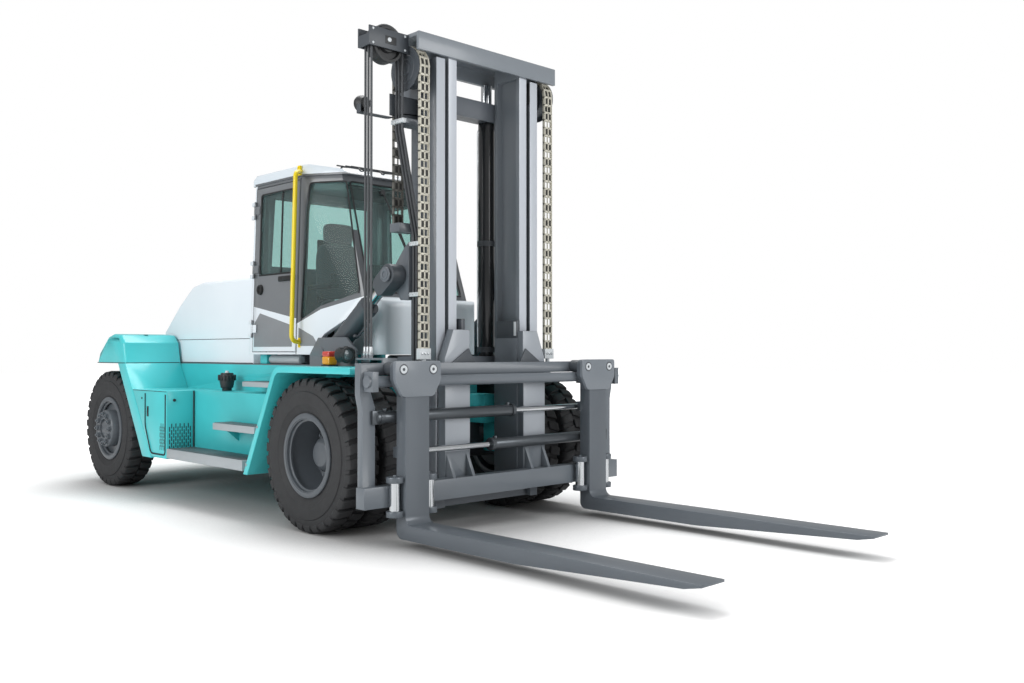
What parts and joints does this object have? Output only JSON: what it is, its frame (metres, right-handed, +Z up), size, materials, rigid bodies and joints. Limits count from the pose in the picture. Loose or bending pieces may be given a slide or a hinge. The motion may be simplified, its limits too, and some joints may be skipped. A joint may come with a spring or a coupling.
{
  "type": "counterbalanced forklift truck",
  "caption": "Heavy battery forklift truck with a two-stage duplex mast, sliding forks, enclosed cab, twin drive wheels and a steered rear axle.",
  "frame": {"origin": "on the floor, at the middle of the overall length and width with the forks level and lowered", "axes": "+X forwards to the fork tips, +Y to the truck left, +Z up"},
  "size_m": [8.2736, 2.8, 3.956],
  "materials": {
    "body_turquoise": "semi-gloss turquoise paint",
    "hood_white": "semi-gloss bluish white paint",
    "cab_white": "semi-gloss bluish white paint",
    "door_grey": "satin grey panel",
    "mast_grey": "satin dark grey paint",
    "frame_dark": "satin near-black paint",
    "cast_dark": "painted casting",
    "tyre_black": "matt rubber",
    "rim_grey": "satin grey paint",
    "chrome": "ground and plated",
    "chain_steel": "oiled steel",
    "hose_black": "matt rubber",
    "glass_tint": "tinted safety glass",
    "seat_fabric": "woven cloth",
    "plastic_black": "moulded plastic",
    "rail_yellow": "gloss yellow paint",
    "step_alu": "pressed plate",
    "lamp_amber": "moulded lens"
  },
  "bodies": {
    "chassis": {"main_frame": "body_turquoise", "counterweight": "body_turquoise", "rear_fenders": "body_turquoise", "front_fenders": "body_turquoise", "equipment_boxes": "body_turquoise", "step_treads": "step_alu", "hood": "hood_white", "battery_pack": "cast_dark", "filler_cap": "plastic_black", "cab_shell": "cab_white", "cab_nose": "cab_white", "cab_glass": "glass_tint", "cab_roof": "cab_white", "cab_mounts": "frame_dark", "operator_seat": "seat_fabric", "steering_console": "plastic_black", "handrails": "rail_yellow", "front_lamps": "plastic_black", "marker_lamps": "lamp_amber", "drive_axle": "cast_dark", "steer_axle": "cast_dark"},
    "mast": {"outer_mast": "mast_grey", "lift_cylinder_barrels": "frame_dark", "hose_runs": "hose_black", "chain_back_strands": "chain_steel", "hose_rises": "hose_black"},
    "inner_mast_body": {"inner_mast": "mast_grey", "lift_cylinder_rods": "chrome", "chain_sheaves": "cast_dark", "chain_front_strands": "chain_steel", "hose_pulley_bracket": "mast_grey", "hose_pulley": "plastic_black", "hose_drops": "hose_black"},
    "carriage": {"carriage_frame": "mast_grey", "chain_anchors": "hood_white", "positioner_barrels": "frame_dark"},
    "front_left_wheels": {"front_left_tyres": "tyre_black", "front_left_rims": "rim_grey"},
    "knuckle_left": {"steer_knuckle_left": "cast_dark"},
    "rear_left_wheel": {"rear_left_tyre": "tyre_black", "rear_left_rim": "rim_grey"},
    "cab_door_left": {"door_left": "door_grey", "door_left_glass": "glass_tint"},
    "tilt_cylinder_left": {"tilt_barrel_left": "frame_dark"},
    "tilt_piston_left": {"tilt_rod_left": "chrome"},
    "fork_arm_left": {"fork_left": "mast_grey", "fork_left_rollers": "chrome"},
    "front_right_wheels": {"front_right_tyres": "tyre_black", "front_right_rims": "rim_grey"},
    "knuckle_right": {"steer_knuckle_right": "cast_dark"},
    "rear_right_wheel": {"rear_right_tyre": "tyre_black", "rear_right_rim": "rim_grey"},
    "cab_door_right": {"door_right": "door_grey", "door_right_glass": "glass_tint"},
    "tilt_cylinder_right": {"tilt_barrel_right": "frame_dark"},
    "tilt_piston_right": {"tilt_rod_right": "chrome"},
    "fork_arm_right": {"fork_right": "mast_grey", "fork_right_rollers": "chrome"}
  },
  "joints": [
    {"name": "front_left_wheel_spin", "type": "hinge", "parent": "chassis", "child": "front_left_wheels", "pos_m": [0.56325, 1.006, 0.61], "axis": [0, 1, 0], "continuous": true},
    {"name": "steer_left", "type": "hinge", "parent": "chassis", "child": "knuckle_left", "pos_m": [-3.31375, 1.02, 0.61], "axis": [0, 0, 1], "range_deg": [-60, 60]},
    {"name": "rear_left_wheel_spin", "type": "hinge", "parent": "knuckle_left", "child": "rear_left_wheel", "pos_m": [-3.31375, 1.155, 0.61], "axis": [0, 1, 0], "continuous": true},
    {"name": "door_left_swing", "type": "hinge", "parent": "chassis", "child": "cab_door_left", "pos_m": [-1.16475, 0.79, 2.2], "axis": [0, -0.0301, 0.9995], "range_deg": [0, 85]},
    {"name": "tilt_cylinder_left_swing", "type": "hinge", "parent": "chassis", "child": "tilt_cylinder_left", "pos_m": [0.05825, 0.72, 1.42], "axis": [0, 1, 0], "range_deg": [-7.4, 4.7]},
    {"name": "tilt_piston_left_slide", "type": "slide", "parent": "tilt_cylinder_left", "child": "tilt_piston_left", "axis": [0.8063, 0, 0.5916], "range_m": [-0.156, 0.098]},
    {"name": "fork_left_shift", "type": "slide", "parent": "carriage", "child": "fork_arm_left", "axis": [0, -1, 0], "range_m": [-0.05, 0.7]},
    {"name": "front_right_wheel_spin", "type": "hinge", "parent": "chassis", "child": "front_right_wheels", "pos_m": [0.56325, -1.006, 0.61], "axis": [0, 1, 0], "continuous": true},
    {"name": "steer_right", "type": "hinge", "parent": "chassis", "child": "knuckle_right", "pos_m": [-3.31375, -1.02, 0.61], "axis": [0, 0, 1], "range_deg": [-60, 60]},
    {"name": "rear_right_wheel_spin", "type": "hinge", "parent": "knuckle_right", "child": "rear_right_wheel", "pos_m": [-3.31375, -1.155, 0.61], "axis": [0, 1, 0], "continuous": true},
    {"name": "door_right_swing", "type": "hinge", "parent": "chassis", "child": "cab_door_right", "pos_m": [-1.16475, -0.79, 2.2], "axis": [0, -0.0301, -0.9995], "range_deg": [0, 85]},
    {"name": "tilt_cylinder_right_swing", "type": "hinge", "parent": "chassis", "child": "tilt_cylinder_right", "pos_m": [0.05825, -0.72, 1.42], "axis": [0, 1, 0], "range_deg": [-7.4, 4.7]},
    {"name": "tilt_piston_right_slide", "type": "slide", "parent": "tilt_cylinder_right", "child": "tilt_piston_right", "axis": [0.8063, 0, 0.5916], "range_m": [-0.156, 0.098]},
    {"name": "fork_right_shift", "type": "slide", "parent": "carriage", "child": "fork_arm_right", "axis": [0, 1, 0], "range_m": [-0.05, 0.7]},
    {"name": "mast_tilt", "type": "hinge", "parent": "chassis", "child": "mast", "pos_m": [0.81325, 0, 0.62], "axis": [0, 1, 0], "range_deg": [-8, 5]},
    {"name": "mast_lift", "type": "slide", "parent": "mast", "child": "inner_mast_body", "axis": [0, 0, 1], "range_m": [0, 2], "deforming": ["chain_back_strands", "hose_rises"]},
    {"name": "carriage_lift", "type": "slide", "parent": "inner_mast_body", "child": "carriage", "axis": [0, 0, 1], "range_m": [0, 2], "deforming": ["chain_front_strands", "hose_drops"]}
  ],
  "couplings": [
    {"joint": "tilt_cylinder_left_swing", "follows": "mast_tilt", "ratio": 0.90318},
    {"joint": "tilt_piston_left_slide", "follows": "mast_tilt", "m_per_rad": 1.0945},
    {"joint": "tilt_cylinder_right_swing", "follows": "mast_tilt", "ratio": 0.90318},
    {"joint": "tilt_piston_right_slide", "follows": "mast_tilt", "m_per_rad": 1.0945},
    {"joint": "carriage_lift", "follows": "mast_lift", "ratio": 1},
    {"joint": "steer_right", "follows": "steer_left", "ratio": 1}
  ]
}
